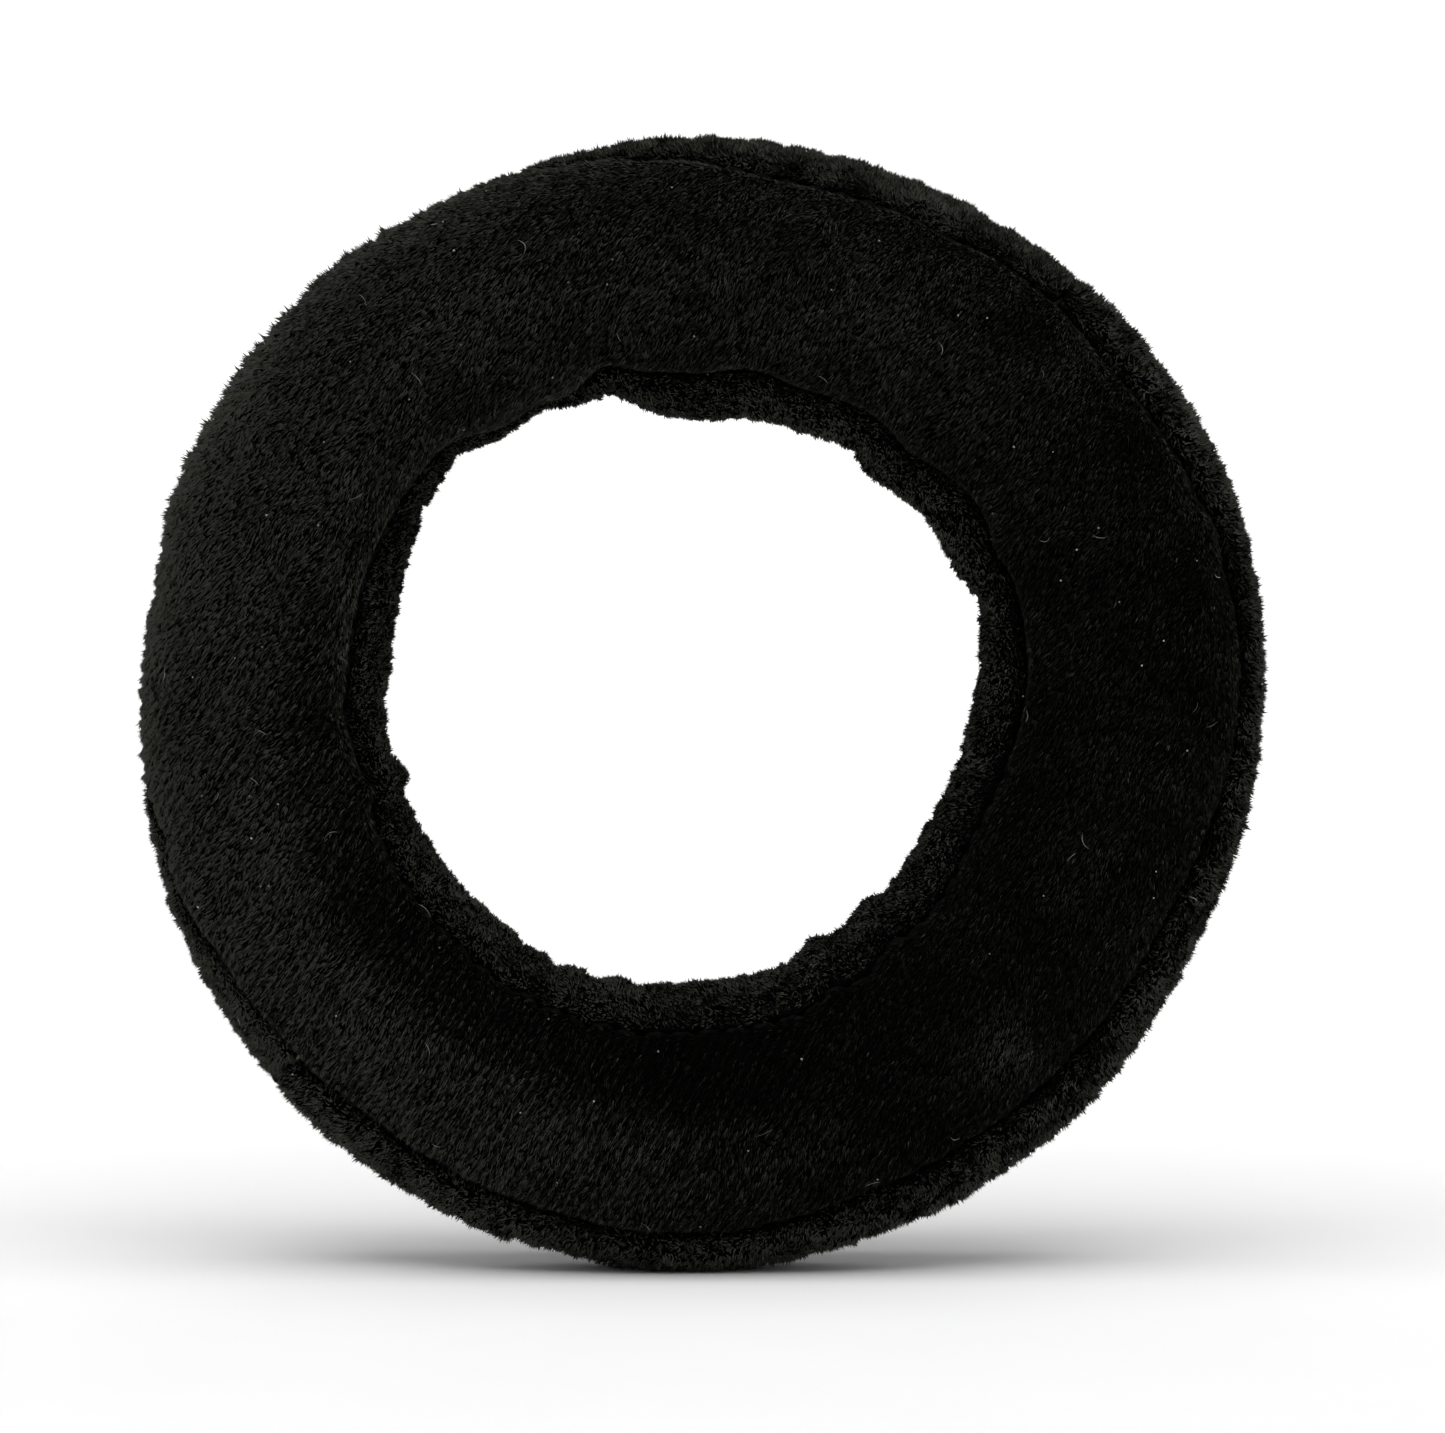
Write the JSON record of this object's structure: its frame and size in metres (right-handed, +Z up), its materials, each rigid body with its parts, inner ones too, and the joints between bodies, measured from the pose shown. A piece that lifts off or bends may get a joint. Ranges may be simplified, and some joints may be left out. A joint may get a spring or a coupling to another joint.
{
  "type": "scrunchie",
  "caption": "Padded plush hair ring: soft face panels and rim strips over a stuffed core, with an elastic band in its inner casing.",
  "frame": {"origin": "the middle of the small flat that the ring stands on, on the floor", "axes": "+Z up, the ring's own axis along Y, the front face towards -Y, +X to the right seen from the front"},
  "size_m": [0.101, 0.02, 0.0998],
  "materials": {
    "face_plush": "short brushed pile, near black",
    "rim_plush": "short brushed pile, near black",
    "band_plush": "short brushed pile, gathered, near black",
    "padding": "matt open foam",
    "seam_thread": "twisted sewing thread, satin",
    "elastic": "ribbed knitted elastic, matt",
    "elastic_thread": "twisted sewing thread, satin"
  },
  "bodies": {
    "cover": {"front_panel": "face_plush", "back_panel": "face_plush", "rim_strip_left": "rim_plush", "rim_strip_right": "rim_plush", "inner_band": "band_plush", "padding_ring": "padding", "front_rim_seam": "seam_thread", "back_rim_seam": "seam_thread", "front_hole_seam": "seam_thread", "back_hole_seam": "seam_thread", "rim_join_high_stitches": "seam_thread", "rim_join_low_stitches": "seam_thread", "inner_band_join_stitches": "seam_thread"},
    "elastic": {"elastic_band": "elastic", "elastic_join_stitches": "elastic_thread"}
  },
  "joints": [
    {"name": "elastic_turn", "type": "hinge", "parent": "cover", "child": "elastic", "pos_m": [0, 0, 0.0493], "axis": [0, -1, 0], "continuous": true}
  ]
}
